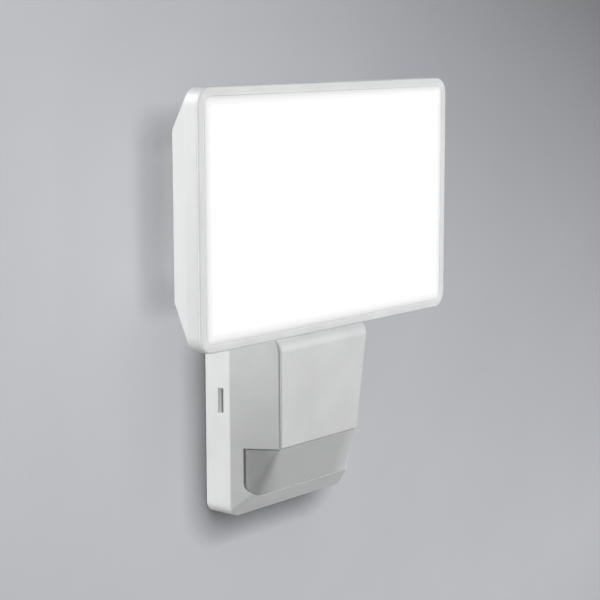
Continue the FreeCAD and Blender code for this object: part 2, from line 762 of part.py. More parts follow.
def head_form():
    """Outside of the housing: a band behind the bezel, then a chamfer all round to a smaller back."""
    half_width = HEAD_WIDTH / 2
    half_height = HEAD_HEIGHT / 2
    band = head_plate(0.0, HEAD_CORNER, (CREASE_DEPTH, SEAM_DEPTH))
    taper = rounded_taper(
        (BACK_HALF_WIDTH, BACK_HALF_HEIGHT, BACK_CORNER, BACK_DEPTH),
        (half_width, half_height, HEAD_CORNER, CREASE_DEPTH),
    )
    return band.fuse(taper)


def head_hollow():
    wall = HOUSING_WALL
    half_width = HEAD_WIDTH / 2
    half_height = HEAD_HEIGHT / 2
    share = (FLOOR_DEPTH - BACK_DEPTH) / (CREASE_DEPTH - BACK_DEPTH)
    floor_width = BACK_HALF_WIDTH + share * (half_width - BACK_HALF_WIDTH) - 1.2 * wall
    floor_height = BACK_HALF_HEIGHT + share * (half_height - BACK_HALF_HEIGHT) - 1.4 * wall
    taper = rounded_taper(
        (floor_width, floor_height, 4.0, FLOOR_DEPTH),
        (half_width - wall, half_height - wall, HEAD_CORNER - wall, CREASE_DEPTH),
    )
    return head_plate(wall, HEAD_CORNER - wall, (CREASE_DEPTH, SEAM_DEPTH + 1.0)).fuse(taper)


def fin_pockets():
    """Upright pockets between the cooling fins on the back."""
    width = (FIN_PITCH - FIN_THICK) / 2
    depths = (BACK_DEPTH - 1.0, BACK_DEPTH + FIN_DEPTH)
    pockets = []
    for index in range(FIN_POCKETS):
        x = (index - (FIN_POCKETS - 1) / 2) * FIN_PITCH
        pocket = rounded_plate(width, FIN_HALF_HEIGHT, width * 0.6, depths, HEAD_CENTRE)
        pocket.translate(Vector(x, 0, 0))
        pockets.append(pocket)
    return pockets


def arm_screw_places():
    """(x, distance up the chamfer) of the four screws that hold the arm."""
    return [(side * ARM_SCREW_X, along) for side in (-1, 1) for along in ARM_SCREW_ALONG]


def head_housing():
    form = head_form().removeSplitter()
    form = soften(form, 1.0, is_head_crease)
    shell = form.cut(head_hollow())
    for pocket in fin_pockets():
        shell = shell.cut(pocket)
    for x, along in arm_screw_places():
        shell = shell.cut(chamfer_rod(2.0, x, along, (-6.0, 1.0)))
    shell = shell.cut(chamfer_rod(4.0, VENT_X, VENT_ALONG, (-6.0, 1.0)))
    for x, height in board_screw_places():
        shell = shell.cut(rod_out(1.35, x, (FLOOR_DEPTH - 2.5, FLOOR_DEPTH + 1.0), height))
    return shell


def is_head_crease(edge):
    """Straight and curved edges where the chamfer meets the band and the back."""
    depths = ends(edge, depth_of)
    return max(depths) < SEAM_DEPTH - 1.0 and max(depths) - min(depths) < 0.1


def head_bezel():
    """Slim frame round the diffuser: rounded outside edge, and a skirt that plugs into the housing."""
    ring = head_plate(0.0, HEAD_CORNER, (SEAM_DEPTH + SEAM_GAP, HEAD_FRONT))
    ring = soften(ring, BEZEL_ROUNDING, lambda edge: min(ends(edge, depth_of)) > HEAD_FRONT - 0.1)
    skirt_inset = HOUSING_WALL + 0.3
    skirt = head_plate(skirt_inset, HEAD_CORNER - skirt_inset, (52.0, SEAM_DEPTH + SEAM_GAP))
    opening = head_plate(BEZEL_WIDTH, HEAD_CORNER - BEZEL_WIDTH, (50.0, HEAD_FRONT + 1.0))
    ring = ring.fuse(skirt).cut(opening).removeSplitter()
    return soften(ring, 0.3, is_bezel_lip)


def is_bezel_lip(edge):
    """Inner front edge of the bezel."""
    at_front = min(ends(edge, depth_of)) > HEAD_FRONT - 0.1
    middle = edge.valueAt((edge.FirstParameter + edge.LastParameter) / 2)
    inner_x = abs(middle.x) < HEAD_WIDTH / 2 - BEZEL_WIDTH + 0.2
    inner_z = abs(middle.z + SCREW_HEIGHT - HEAD_CENTRE) < HEAD_HEIGHT / 2 - BEZEL_WIDTH + 0.2
    return at_front and inner_x and inner_z


def diffuser():
    """Opal panel that fills the bezel's opening, with a softened front edge."""
    inset = BEZEL_WIDTH + DIFFUSER_PLAY
    plate = head_plate(inset, HEAD_CORNER - inset, (54.0, DIFFUSER_FACE))
    return soften(plate, 0.3, lambda edge: min(ends(edge, depth_of)) > DIFFUSER_FACE - 0.1)


def diffuser_gasket():
    half_width = HEAD_WIDTH / 2 - BEZEL_WIDTH - 0.3
    half_height = HEAD_HEIGHT / 2 - BEZEL_WIDTH - 0.3
    return ring_plate(half_width, half_height, 4.0, 4.0, (52.4, 54.0), HEAD_CENTRE)


def reflector_tray():
    """White sheet tray: an opening for the board at the back, sloping sides and a rim under the gasket."""
    wall = 1.0
    front = (HEAD_WIDTH / 2 - 8.0, HEAD_HEIGHT / 2 - 8.0, 4.0, 51.4)
    back = (100.0, 55.0, 4.0, 33.0)
    outer = rounded_taper(back, front)
    inner = rounded_taper(
        (back[0] - wall, back[1] - wall, 3.0, back[3] - 0.01),
        (front[0] - wall, front[1] - wall, 3.0, front[3] + 0.01),
    )
    rim = ring_plate(HEAD_WIDTH / 2 - 6.2, HEAD_HEIGHT / 2 - 6.2, 3.8, 3.0, (51.4, 52.4), HEAD_CENTRE)
    return outer.cut(inner).fuse(rim)


def led_board():
    board = rounded_plate(96.0, 50.0, 3.0, (FLOOR_DEPTH, FLOOR_DEPTH + 1.6), HEAD_CENTRE)
    for x, height in board_screw_places():
        board = board.cut(rod_out(1.6, x, (FLOOR_DEPTH - 1.0, FLOOR_DEPTH + 3.0), height))
    return board


def led_chips():
    front = FLOOR_DEPTH + 1.6
    chips = []
    for row in range(LED_ROWS):
        for column in range(LED_COLUMNS):
            x = (column - (LED_COLUMNS - 1) / 2) * LED_PITCH
            height = HEAD_CENTRE + (row - (LED_ROWS - 1) / 2) * LED_PITCH
            chips.append(block((x - 1.75, x + 1.75), (front, front + 0.8), (height - 1.4, height + 1.4)))
    return group(chips)


def board_screw_places():
    """(x, height) of the screws that hold the LED board."""
    across = [side * x for side in (-1, 1) for x in BOARD_SCREW_X]
    return [(x, HEAD_CENTRE + side * BOARD_SCREW_LEVEL) for x in across for side in (-1, 1)]


def led_screws():
    front = FLOOR_DEPTH + 1.6
    screws = []
    for x, height in board_screw_places():
        stem = rod_out(1.3, x, (FLOOR_DEPTH - 2.0, front), height)
        screw = stem.fuse(rod_out(2.4, x, (front, front + 1.6), height))
        slot = block((x - 1.8, x + 1.8), (front + 1.0, front + 2.0), (height - 0.4, height + 0.4))
        screws.append(screw.cut(slot))
    return group(screws)


def strip(start, end, half, x):
    """Bar between two (depth, height) points, of a given half thickness."""
    run = end[0] - start[0]
    rise = end[1] - start[1]
    length = math.hypot(run, rise)
    side = (-rise / length * half, run / length * half)
    return side_prism(
        [
            (start[0] + side[0], start[1] + side[1]),
            (end[0] + side[0], end[1] + side[1]),
            (end[0] - side[0], end[1] - side[1]),
            (start[0] - side[0], start[1] - side[1]),
        ],
        x,
    )


def tilt_arm():
    """Cranked arm: a drum on the hinge bolt, a web leaving it backwards and a foot on the head's chamfer."""
    width = (-DRUM_HALF_WIDTH, DRUM_HALF_WIDTH)
    centre = (HINGE_DEPTH, HINGE_HEIGHT)
    lean = math.radians(55.0)
    elbow = (centre[0] - 15.0 * math.sin(lean), centre[1] + 15.0 * math.cos(lean))
    top = on_chamfer(25.5, 0.5)
    half = 3.0
    arm = rod_across(DRUM_RADIUS, width, *centre)
    arm = arm.fuse(strip(centre, elbow, half, width))
    arm = arm.fuse(rod_across(half, width, *elbow))
    arm = arm.fuse(strip(elbow, top, half, width))
    foot = [on_chamfer(9.0, 0.0), on_chamfer(31.0, 0.0), on_chamfer(31.0, 4.0), on_chamfer(9.0, 4.0)]
    arm = arm.fuse(side_prism(foot, (-30.0, 30.0)))
    for x in (-DRUM_HALF_WIDTH + 2.0, DRUM_HALF_WIDTH - 2.0):
        gusset = [on_chamfer(29.0, 3.5), on_chamfer(12.0, 3.5), (elbow[0] + 1.0, elbow[1] + 2.0)]
        arm = arm.fuse(side_prism(gusset, (x - 1.5, x + 1.5)))
    skin = (on_chamfer(0.0, 0.0), on_chamfer(40.0, 0.0))
    inside = (on_chamfer(40.0, -12.0), on_chamfer(0.0, -12.0))
    arm = arm.cut(side_prism([*skin, *inside], (-40.0, 40.0)))
    arm = arm.cut(rod_across(BOLT_RADIUS + BOLT_PLAY, (-40.0, 40.0), *centre))
    for x, along in arm_screw_places():
        arm = arm.cut(chamfer_rod(2.1, x, along, (-1.0, 5.0)))
    return arm.removeSplitter()


def arm_screws():
    screws = []
    for x, along in arm_screw_places():
        head = chamfer_rod(3.6, x, along, (4.0, 6.6)).cut(chamfer_rod(1.6, x, along, (5.0, 7.0)))
        screws.append(head.fuse(chamfer_rod(2.0, x, along, (-4.5, 4.0))))
    return group(screws)


def vent_plug():
    """Breather that lets pressure out of the housing but no water in."""
    cap = chamfer_rod(6.0, VENT_X, VENT_ALONG, (0.0, 2.4))
    stem = chamfer_rod(4.0, VENT_X, VENT_ALONG, (-4.5, 0.0))
    return cap.fuse(stem).cut(chamfer_rod(3.2, VENT_X, VENT_ALONG, (1.6, 3.0)))


def build():
    right_latch = latch()
    parts = {
        "wall_bracket": wall_bracket(),
        "bracket_gasket": bracket_gasket(),
        "cable_grommet": cable_grommet(),
        "terminal_block": terminal_block(),
        "terminal_screws": terminal_screws(),
        "base_cover": base_cover(),
        "column_panel": column_panel(),
        "sensor_lens": sensor_lens(),
        "lens_seal": lens_seal(),
        "sensor_carrier": sensor_carrier(),
        "sensor_board": sensor_board(),
        "pir_detectors": pir_detectors(),
        "light_sensor": light_sensor(),
        "potentiometers": potentiometers(),
        "dial_board": dial_board(),
        "driver_board": driver_board(),
        "driver_transformer": driver_transformer(),
        "driver_capacitors": driver_capacitors(),
        "driver_relay": driver_relay(),
        "driver_screws": driver_screws(),
        "hinge_chassis": hinge_chassis(),
        "chassis_screws": chassis_screws(),
        "hinge_bolt": hinge_bolt(),
        "hinge_nut": hinge_nut(),
        "spring_washer": spring_washer(),
        "friction_washers": friction_washers(),
        "latch_right": right_latch,
        "latch_left": mirrored(right_latch),
        "head_housing": head_housing(),
        "head_bezel": head_bezel(),
        "diffuser": diffuser(),
        "diffuser_gasket": diffuser_gasket(),
        "reflector_tray": reflector_tray(),
        "led_board": led_board(),
        "led_chips": led_chips(),
        "led_screws": led_screws(),
        "tilt_arm": tilt_arm(),
        "arm_screws": arm_screws(),
        "vent_plug": vent_plug(),
    }
    for name, x in zip(("dial_time", "dial_light", "dial_range"), dial_places()):
        parts[name] = dial(x)
    return parts


def main():
    os.makedirs("parts", exist_ok=True)
    for name, shape in build().items():
        shape.exportStep(f"parts/{name}.step")
        print(f"{name:20s} solids {len(shape.Solids):3d} valid {shape.isValid()}")


main()
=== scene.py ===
"""Looks of a wall-mounted LED floodlight with a motion-sensor window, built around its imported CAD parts."""

import math

import bpy
from mathutils import Matrix, Vector


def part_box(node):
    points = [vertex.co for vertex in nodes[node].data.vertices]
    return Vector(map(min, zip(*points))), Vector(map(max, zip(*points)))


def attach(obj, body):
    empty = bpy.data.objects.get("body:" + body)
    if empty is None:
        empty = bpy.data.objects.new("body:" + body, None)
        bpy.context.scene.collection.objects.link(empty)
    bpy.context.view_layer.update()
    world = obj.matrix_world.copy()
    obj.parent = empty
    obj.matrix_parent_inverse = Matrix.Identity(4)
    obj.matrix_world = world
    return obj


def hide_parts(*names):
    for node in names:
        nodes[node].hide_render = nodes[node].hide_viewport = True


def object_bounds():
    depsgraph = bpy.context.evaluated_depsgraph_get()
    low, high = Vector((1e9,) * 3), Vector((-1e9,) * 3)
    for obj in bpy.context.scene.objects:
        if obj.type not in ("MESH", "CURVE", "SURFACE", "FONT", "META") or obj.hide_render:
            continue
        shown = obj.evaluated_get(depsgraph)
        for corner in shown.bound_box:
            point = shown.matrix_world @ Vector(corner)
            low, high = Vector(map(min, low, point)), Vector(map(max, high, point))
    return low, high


MM = 0.001

# ---- colours and light ----
WHITE = (0.80, 0.805, 0.81)
WALL_COLOUR = (0.50, 0.51, 0.535)
FLOOR_COLOUR = (0.62, 0.63, 0.65)
SKY_COLOUR = (1.0, 1.0, 1.0)
SKY_STRENGTH = 0.230
GLOW_COLOUR = (1.0, 0.99, 0.975)

# each glow: two distances in from the diffuser's rim, m, and the light at each
RIM_GLOW = (0.0, 0.0034, 0.075, 0.29)
PANEL_GLOW = (0.0040, 0.0140, 0.0, 0.85)
LIP_PAINTED_GLOW = (-0.0017, 0.0, 0.0, 0.075)    # painted glow in the bezel's inner lip, just outside the diffuser; the bezel is no lamp

WALL_PAINTED_LIGHT = (1.362, 0.081, -1.097, -3.275, -0.531, -1.44)    # 1, x, z, xz, xx, zz: share of its colour, a painted light falloff
WALL_PAINTED_LIGHT_LIMITS = (0.3, 1.7)
WALL_PAINTED_SHADES = (                      # painted soft shade round the object: reach in m, depth, lean
    (0.026, 1.7, (-0.1, 0.0, 0.45)),
    (0.075, 0.28, (0.35, 0.0, -0.45)),
)

LENS_SHADE_START = 0.0386             # painted shade at the window's left end: its start at the top, m from the middle
LENS_SHADE_LEAN = 0.55                # how much nearer to the middle per m down
LENS_SHADE_FULL = 0.0435              # where it is darkest
LENS_SHADE_COLOUR = (0.50, 0.505, 0.51)
LENS_HIGHLIGHT = (0.026, 0.042)            # painted highlight at the window's right end: where it starts and is lightest, m
LENS_HIGHLIGHT_COLOUR = (0.86, 0.865, 0.87)

TICK_COLOUR = (0.10, 0.105, 0.11)
TICK_STEP = math.radians(27.0)
TICK_REACH = math.radians(136.0)
TICK_SHARE = 0.07                    # half width of a mark, as a share of the step
TICK_RADII = (0.0062, 0.0078)

SOFT_EDGE = 0.0003                   # how far every sharp edge looks rounded, m

# ---- room and camera, m ----
FLOOR_HEIGHT = -0.42
ROOM_REACH = 4.0
WALL_PLANE = 0.0006                  # the wall stands this far behind the bracket
CAMERA_PLACE = Vector((-0.82291, -0.72850, 0.24411))
CAMERA_LOOK = Vector((0.75358, 0.63843, -0.15658))
CAMERA_UP = Vector((0.12094, 0.09948, 0.98766))
CAMERA_LENS = 102.86                 # focal length over a 36 mm sensor, mm
CAMERA_SENSOR = 36.0

# ---- form, mm: depth is away from the wall, height above the base's underside ----
SCREW_HEIGHT = 60.0

SIDE_EDGE = (55.0, 20.3)             # half width and depth where the flanks start
RIDGE = (38.0, 47.0)                 # half width and depth where they meet the front, at the window's top
CHIN = (35.4, 14.4)                  # depth and height of the front slope's lower end
WINDOW_TOP = 45.0
WINDOW_INSET = 0.3                   # the window lies this far below the cover's faces
WINDOW_HALF_WIDTH = 49.2
WINDOW_LEVELS = (CHIN[1] + 0.15, WINDOW_TOP - 0.5)
WINDOW_CORNER = 6.8
WINDOW_EDGE = 0.9                    # rounding of its rim
WINDOW_SIDE_SHARE = 0.42             # below 1, so that the rounding is wider at its sides
WINDOW_THICK = 1.3
RIDGE_BLEND = (1.0, 8.0)             # softness of the ridges at the window's top and bottom

FLANK_RUN = (SIDE_EDGE[0] - RIDGE[0], RIDGE[1] - SIDE_EDGE[1])
FLANK_LENGTH = math.hypot(*FLANK_RUN)
FLANK_NORMAL = (FLANK_RUN[1] / FLANK_LENGTH, FLANK_RUN[0] / FLANK_LENGTH)    # across and out
FLANK_OFFSET = FLANK_NORMAL[0] * SIDE_EDGE[0] + FLANK_NORMAL[1] * SIDE_EDGE[1] - WINDOW_INSET
SLOPE_RUN = (RIDGE[1] - CHIN[0]) / (WINDOW_TOP - CHIN[1])    # how much deeper it gets per mm of height
SLOPE_FOOT = CHIN[0] - WINDOW_INSET * math.hypot(1.0, SLOPE_RUN)

CREASE = (47.2, 117.4)               # depth and height of the head's lower rear chamfer, at its front
CHAMFER_END = (21.5, 140.4)          # and at its back
CHAMFER_RUN = (CHAMFER_END[0] - CREASE[0], CHAMFER_END[1] - CREASE[1])
CHAMFER_LENGTH = math.hypot(*CHAMFER_RUN)
CHAMFER_UP = (CHAMFER_RUN[0] / CHAMFER_LENGTH, CHAMFER_RUN[1] / CHAMFER_LENGTH)
CHAMFER_OUT = (-CHAMFER_UP[1], CHAMFER_UP[0])
ARM_SCREWS = [(side * 25.0, along) for side in (-1, 1) for along in (13.5, 26.0)]
BREATHER = (70.0, 18.0)

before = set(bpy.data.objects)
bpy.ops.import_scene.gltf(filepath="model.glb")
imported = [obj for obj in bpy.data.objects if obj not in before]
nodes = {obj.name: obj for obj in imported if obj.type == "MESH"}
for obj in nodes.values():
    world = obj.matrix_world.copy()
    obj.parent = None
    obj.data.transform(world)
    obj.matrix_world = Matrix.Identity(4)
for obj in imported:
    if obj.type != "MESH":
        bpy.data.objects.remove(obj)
cad_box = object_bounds()


# ---- node helpers ----
def material_tree(name):
    material = bpy.data.materials.new(name)
    material.use_nodes = True
    tree = material.node_tree
    return material, tree, tree.nodes["Principled BSDF"]


def add(tree, kind, **values):
    node = tree.nodes.new(kind)
    for name, value in values.items():
        setattr(node, name, value)
    return node


def noise(tree, place, scale, detail=2.0, roughness=0.5):
    node = add(tree, "ShaderNodeTexNoise")
    node.inputs["Scale"].default_value = scale
    node.inputs["Detail"].default_value = detail
    node.inputs["Roughness"].default_value = roughness
    tree.links.new(place, node.inputs["Vector"])
    return node.outputs["Fac"]


def remap(tree, value, low, high, to_low, to_high):
    node = add(tree, "ShaderNodeMapRange", clamp=True)
    node.inputs["From Min"].default_value = low
    node.inputs["From Max"].default_value = high
    node.inputs["To Min"].default_value = to_low
    node.inputs["To Max"].default_value = to_high
    tree.links.new(value, node.inputs["Value"])
    return node.outputs["Result"]


def share_of(tree, value, low, high):
    """0 up to low, 1 from high on."""
    return remap(tree, value, low, high, 0.0, 1.0)


def math_node(tree, operation, first, second=None):
    node = add(tree, "ShaderNodeMath", operation=operation)
    for socket, value in zip(node.inputs, (first, second)):
        if value is None:
            continue
        if isinstance(value, (int, float)):
            socket.default_value = value
        else:
            tree.links.new(value, socket)
    return node.outputs[0]


def mix_colour(tree, factor, first, second):
    node = add(tree, "ShaderNodeMix", data_type="RGBA")
    tree.links.new(factor, node.inputs["Factor"])
    for socket, value in ((node.inputs[6], first), (node.inputs[7], second)):
        if isinstance(value, tuple):
            socket.default_value = (*value, 1.0)
        else:
            tree.links.new(value, socket)
    return node.outputs[2]


def bumps(tree, shader, layers):
    """Stacks height layers, each (value, depth in metres, strength), over slightly rounded edges."""
    bevel = add(tree, "ShaderNodeBevel", samples=4)
    bevel.inputs["Radius"].default_value = SOFT_EDGE
    last = bevel.outputs["Normal"]
    for value, depth, strength in layers:
        node = add(tree, "ShaderNodeBump")
        node.inputs["Distance"].default_value = depth
        node.inputs["Strength"].default_value = strength
        tree.links.new(value, node.inputs["Height"])
        tree.links.new(last, node.inputs["Normal"])
        last = node.outputs["Normal"]
    tree.links.new(last, shader.inputs["Normal"])


def edge_mask(tree, radius):
    """1 on sharp edges, 0 on flat faces: how far the rounded-edge normal turns from the true one. It marks
    wear, and on moulded plastic a painted highlight.
    """
    bevel = add(tree, "ShaderNodeBevel", samples=4)
    bevel.inputs["Radius"].default_value = radius
    geometry = add(tree, "ShaderNodeNewGeometry")
    dot = add(tree, "ShaderNodeVectorMath", operation="DOT_PRODUCT")
    tree.links.new(bevel.outputs["Normal"], dot.inputs[0])
    tree.links.new(geometry.outputs["Normal"], dot.inputs[1])
    return share_of(tree, dot.outputs["Value"], 0.995, 0.86)


def scaled(colour, share):
    return tuple(min(channel * share, 1.0) for channel in colour)


# ---- materials ----
def moulded(name, colour, gloss=0.42):
    """Injection-moulded plastic: spark-eroded grain, faint flow marks, polished edges with a painted
    highlight.
    """
    material, tree, shader = material_tree(name)
    place = add(tree, "ShaderNodeTexCoord").outputs["Object"]
    flow = noise(tree, place, 34.0, 3.0)
    cloud = noise(tree, place, 240.0, 2.0)
    grain = noise(tree, place, 3800.0, 2.0, 0.6)
    body = mix_colour(tree, share_of(tree, flow, 0.35, 0.65), scaled(colour, 0.93), colour)
    # edges: glossier from polish, and lighter in colour from a painted highlight
    edge = math_node(tree, "MULTIPLY", edge_mask(tree, 0.0006), 0.35)
    painted = mix_colour(tree, edge, body, scaled(colour, 1.06))
    tree.links.new(painted, shader.inputs["Base Color"])
    rough = remap(tree, cloud, 0.3, 0.7, gloss - 0.05, gloss + 0.06)
    worn = math_node(tree, "SUBTRACT", rough, math_node(tree, "MULTIPLY", edge, 0.25))
    tree.links.new(worn, shader.inputs["Roughness"])
    shader.inputs["IOR"].default_value = 1.5
    bumps(tree, shader, [(flow, 2e-4, 0.12), (grain, 4e-5, 0.35)])
    return material


def dial_ticks(tree, place):
    """Mask of the printed marks round the three setting dials in the underside."""
    low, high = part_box("dial_light")
    middle = (low + high) / 2
    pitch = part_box("dial_range")[0].x - low.x
    parts = add(tree, "ShaderNodeSeparateXYZ")
    tree.links.new(place, parts.inputs[0])
    x, y, z = parts.outputs
    cell = math_node(tree, "FLOORED_MODULO", math_node(tree, "ADD", x, 1.5 * pitch), pitch)
    across = math_node(tree, "SUBTRACT", cell, 0.5 * pitch)
    along = math_node(tree, "SUBTRACT", y, middle.y)
    angle = math_node(tree, "ARCTAN2", across, along)
    step = math_node(tree, "DIVIDE", angle, TICK_STEP)
    past_tick = math_node(tree, "SUBTRACT", step, math_node(tree, "ROUND", step))
    from_tick = math_node(tree, "ABSOLUTE", past_tick)
    squares = [math_node(tree, "POWER", value, 2.0) for value in (across, along)]
    radius = math_node(tree, "SQRT", math_node(tree, "ADD", *squares))
    tests = [
        math_node(tree, "LESS_THAN", from_tick, TICK_SHARE),
        math_node(tree, "GREATER_THAN", radius, TICK_RADII[0]),
        math_node(tree, "LESS_THAN", radius, TICK_RADII[1]),
        math_node(tree, "LESS_THAN", math_node(tree, "ABSOLUTE", angle), TICK_REACH),
        math_node(tree, "LESS_THAN", math_node(tree, "ABSOLUTE", x), 1.5 * pitch),
        math_node(tree, "LESS_THAN", z, cad_box[0].z + 2e-5),
    ]
    mask = tests[0]
    for test in tests[1:]:
        mask = math_node(tree, "MULTIPLY", mask, test)
    return mask


def print_ticks(material):
    """Prints the dial marks over the colour that the material has."""
    tree = material.node_tree
    shader = tree.nodes["Principled BSDF"]
    under = shader.inputs["Base Color"].links[0].from_socket
    place = add(tree, "ShaderNodeTexCoord").outputs["Object"]
    printed = mix_colour(tree, dial_ticks(tree, place), under, TICK_COLOUR)
    tree.links.new(printed, shader.inputs["Base Color"])
    return material


def powder_coat(name, colour, gloss=0.38):
    """Powder-coated metal: orange peel, tiny pores and slightly thin edges."""
    material, tree, shader = material_tree(name)
    place = add(tree, "ShaderNodeTexCoord").outputs["Object"]
    peel = noise(tree, place, 620.0, 1.5, 0.4)
    pore = noise(tree, place, 5200.0, 2.0)
    cloud = noise(tree, place, 22.0, 3.0)
    body = mix_colour(tree, share_of(tree, cloud, 0.35, 0.65), scaled(colour, 0.955), colour)
    edge = math_node(tree, "MULTIPLY", edge_mask(tree, 0.0005), 0.3)
    tree.links.new(mix_colour(tree, edge, body, scaled(colour, 0.86)), shader.inputs["Base Color"])
    tree.links.new(remap(tree, peel, 0.3, 0.7, gloss - 0.06, gloss + 0.08), shader.inputs["Roughness"])
    shader.inputs["Coat Weight"].default_value = 0.12
    shader.inputs["Coat Roughness"].default_value = 0.22
    bumps(tree, shader, [(peel, 9e-5, 0.35), (pore, 2e-5, 0.25)])
    return material


def rubber(name, colour):
    """Matt rubber or foam with a dusty bloom."""
    material, tree, shader = material_tree(name)
    place = add(tree, "ShaderNodeTexCoord").outputs["Object"]
    dust = noise(tree, place, 90.0, 4.0)
    grain = noise(tree, place, 2600.0, 3.0, 0.7)
    lighter = tuple(channel * 0.7 + 0.06 for channel in colour)
    dusty = mix_colour(tree, remap(tree, dust, 0.45, 0.75, 0.0, 0.8), colour, lighter)
    tree.links.new(dusty, shader.inputs["Base Color"])
    tree.links.new(remap(tree, dust, 0.3, 0.7, 0.68, 0.85), shader.inputs["Roughness"])
    bumps(tree, shader, [(grain, 8e-5, 0.5)])
    return material


def steel(name, colour=(0.62, 0.62, 0.61), gloss=0.3):
    """Zinc-plated or stainless steel with turning marks and brighter edges."""
    material, tree, shader = material_tree(name)
    place = add(tree, "ShaderNodeTexCoord").outputs["Object"]
    stretch = add(tree, "ShaderNodeMapping")
    stretch.inputs["Scale"].default_value = (0.06, 1.0, 1.0)
    tree.links.new(place, stretch.inputs["Vector"])
    brushed = noise(tree, stretch.outputs["Vector"], 3500.0, 3.0)
    patch = noise(tree, place, 180.0, 3.0)
    body = mix_colour(tree, share_of(tree, patch, 0.3, 0.7), scaled(colour, 0.78), colour)
    edge = math_node(tree, "MULTIPLY", edge_mask(tree, 0.0003), 0.6)
    tree.links.new(mix_colour(tree, edge, body, scaled(colour, 1.3)), shader.inputs["Base Color"])
    shader.inputs["Metallic"].default_value = 1.0
    tree.links.new(remap(tree, brushed, 0.2, 0.8, gloss - 0.08, gloss + 0.12), shader.inputs["Roughness"])
    bumps(tree, shader, [(brushed, 2e-5, 0.25)])
    return material


def board(name, colour, track):
    """Printed circuit board: solder mask over faint copper tracks and pads."""
    material, tree, shader = material_tree(name)
    place = add(tree, "ShaderNodeTexCoord").outputs["Object"]
    cells = add(tree, "ShaderNodeTexVoronoi", distance="MANHATTAN")
    cells.inputs["Scale"].default_value = 420.0
    tree.links.new(place, cells.inputs["Vector"])
    line = share_of(tree, cells.outputs["Distance"], 0.42, 0.5)
    tree.links.new(mix_colour(tree, line, colour, track), shader.inputs["Base Color"])
    shader.inputs["Roughness"].default_value = 0.32
    bumps(tree, shader, [(line, 3e-5, 0.4)])
    return material


def inside_panel(tree, place):
    """Distance in from the diffuser's rim, below 0 outside it."""
    low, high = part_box("diffuser")
    centre = (low + high) / 2
    half = (high - low) / 2
    parts = add(tree, "ShaderNodeSeparateXYZ")
    tree.links.new(place, parts.inputs[0])
    margins = []
    for axis, middle, reach in (("X", centre.x, half.x), ("Z", centre.z, half.z)):
        offset = math_node(tree, "ABSOLUTE", math_node(tree, "SUBTRACT", parts.outputs[axis], middle))
        margins.append(math_node(tree, "SUBTRACT", reach, offset))
    rim = math_node(tree, "SMOOTH_MIN", *margins)
    rim.node.inputs[2].default_value = 0.004
    return rim


def painted_lip_glow(material):
    """Paints a glow into the bezel's inner lip, as if the diffuser's light crept into it."""
    tree = material.node_tree
    shader = tree.nodes["Principled BSDF"]
    rim = inside_panel(tree, add(tree, "ShaderNodeTexCoord").outputs["Object"])
    # painted glow: emission on the bezel plastic, strongest next to the diffuser
    shader.inputs["Emission Color"].default_value = (*GLOW_COLOUR, 1.0)
    tree.links.new(remap(tree, rim, *LIP_PAINTED_GLOW), shader.inputs["Emission Strength"])
    return material


def lit_panel(name):
    """Opal panel with light behind it, fading over the last millimetres at its rim."""
    material, tree, shader = material_tree(name)
    place = add(tree, "ShaderNodeTexCoord").outputs["Object"]
    rim = inside_panel(tree, place)
    inner = remap(tree, rim, *PANEL_GLOW)
    inner.node.interpolation_type = "SMOOTHSTEP"
    glow = math_node(tree, "ADD", remap(tree, rim, *RIM_GLOW), inner)
    frost = noise(tree, place, 2400.0, 2.0)
    shader.inputs["Base Color"].default_value = (0.80, 0.805, 0.81, 1.0)
    tree.links.new(remap(tree, frost, 0.3, 0.7, 0.38, 0.5), shader.inputs["Roughness"])
    shader.inputs["Emission Color"].default_value = (*GLOW_COLOUR, 1.0)
    tree.links.new(glow, shader.inputs["Emission Strength"])
    bumps(tree, shader, [(frost, 3e-5, 0.3)])
    return material


def milky(name, colour):
    """Milky polyethylene of the sensor window, with painted shade towards its left end and a painted
    highlight at its right end.
    """
    material, tree, shader = material_tree(name)
    place = add(tree, "ShaderNodeTexCoord").outputs["Object"]
    cloud = noise(tree, place, 45.0, 3.0)
    fine = noise(tree, place, 3000.0, 2.0)
    parts = add(tree, "ShaderNodeSeparateXYZ")
    tree.links.new(place, parts.inputs[0])
    x, z = parts.outputs["X"], parts.outputs["Z"]
    # painted shade over the window's left end, reaching nearer the middle lower down
    level = LENS_SHADE_START - LENS_SHADE_LEAN * (WINDOW_LEVELS[1] - SCREW_HEIGHT) * MM
    start = math_node(tree, "ADD", math_node(tree, "MULTIPLY", z, LENS_SHADE_LEAN), level)
    beyond = math_node(tree, "SUBTRACT", math_node(tree, "MULTIPLY", x, -1.0), start)
    width = math_node(tree, "SUBTRACT", LENS_SHADE_FULL, start)
    side = share_of(tree, math_node(tree, "DIVIDE", beyond, width), 0.0, 1.0)
    side.node.interpolation_type = "SMOOTHSTEP"
    skin = mix_colour(tree, share_of(tree, cloud, 0.35, 0.65), scaled(colour, 0.97), colour)
    # painted highlight over the window's right end
    skin = mix_colour(tree, share_of(tree, x, *LENS_HIGHLIGHT), skin, LENS_HIGHLIGHT_COLOUR)
    tree.links.new(mix_colour(tree, side, skin, LENS_SHADE_COLOUR), shader.inputs["Base Color"])
    tree.links.new(remap(tree, cloud, 0.3, 0.7, 0.36, 0.46), shader.inputs["Roughness"])
    shader.inputs["Transmission Weight"].default_value = 0.08
    shader.inputs["Subsurface Weight"].default_value = 0.3
    shader.inputs["Subsurface Radius"].default_value = (0.004, 0.004, 0.004)
    shader.inputs["Subsurface Scale"].default_value = 1.0
    shader.inputs["IOR"].default_value = 1.51
    bumps(tree, shader, [(cloud, 2e-4, 0.1), (fine, 3e-5, 0.25)])
    return material


